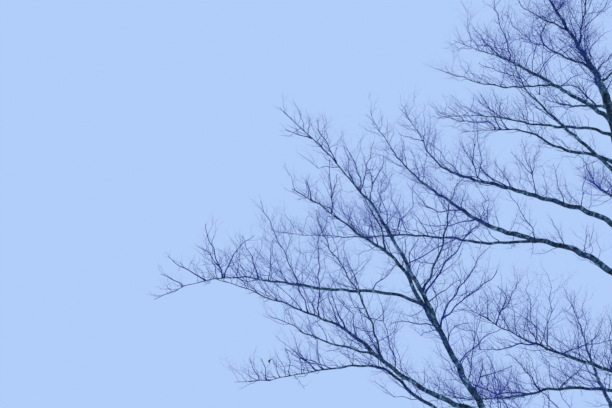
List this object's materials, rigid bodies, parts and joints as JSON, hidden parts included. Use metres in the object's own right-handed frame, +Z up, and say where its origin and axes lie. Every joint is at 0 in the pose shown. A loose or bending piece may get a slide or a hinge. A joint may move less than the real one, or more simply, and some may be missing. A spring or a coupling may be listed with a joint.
{
  "type": "bare winter tree",
  "caption": "Tall leafless deciduous tree: one trunk with root flare, ascending boughs and spreading crown masses of bare twigs.",
  "frame": {"origin": "centre of the trunk's flat cut at ground level", "axes": "+Z up along the trunk; -X towards the crown's side that the picture shows; +Y away from the picture's viewpoint"},
  "size_m": [11.9719, 10.2891, 13.2792],
  "materials": {
    "bark": "rough mottled bark with pale lichen patches",
    "twig_bark": "smooth dark young bark, matt"
  },
  "bodies": {
    "root": {"trunk": "bark", "bough_left_leader": "bark", "bough_left_fork": "bark", "bough_left_spreading": "bark", "bough_left_lower": "bark", "bough_left_lowest": "bark", "bough_left_arching": "bark", "bough_left_level": "bark", "bough_left_middle": "bark", "bough_left_back_low": "bark", "bough_left_inner": "bark", "bough_left_upper": "bark", "bough_left_climbing": "bark", "bough_left_topmost": "bark", "bough_front_left_top": "bark", "bough_right_leader": "bark", "bough_right_fork": "bark", "bough_right_spreading": "bark", "bough_back_leader": "bark", "bough_back_fork": "bark", "bough_back_spreading": "bark", "bough_front_leader": "bark", "bough_front_fork": "bark", "bough_front_spreading": "bark", "bough_right_middle": "bark", "bough_front_right_middle": "bark", "bough_back_middle": "bark", "bough_right_upper": "bark", "bough_front_upper": "bark", "bough_back_upper": "bark", "twigs_trunk": "twig_bark", "twigs_left_leader": "twig_bark", "twigs_left_fork": "twig_bark", "twigs_left_spreading": "twig_bark", "twigs_left_lower": "twig_bark", "twigs_left_lowest": "twig_bark", "twigs_left_arching": "twig_bark", "twigs_left_level": "twig_bark", "twigs_left_middle": "twig_bark", "twigs_left_back_low": "twig_bark", "twigs_left_inner": "twig_bark", "twigs_left_upper": "twig_bark", "twigs_left_climbing": "twig_bark", "twigs_left_topmost": "twig_bark", "twigs_front_left_top": "twig_bark", "twigs_right_leader": "twig_bark", "twigs_right_fork": "twig_bark", "twigs_right_spreading": "twig_bark", "twigs_back_leader": "twig_bark", "twigs_back_fork": "twig_bark", "twigs_back_spreading": "twig_bark", "twigs_front_leader": "twig_bark", "twigs_front_fork": "twig_bark", "twigs_front_spreading": "twig_bark", "twigs_right_middle": "twig_bark", "twigs_front_right_middle": "twig_bark", "twigs_back_middle": "twig_bark", "twigs_right_upper": "twig_bark", "twigs_front_upper": "twig_bark", "twigs_back_upper": "twig_bark"}
  },
  "joints": []
}
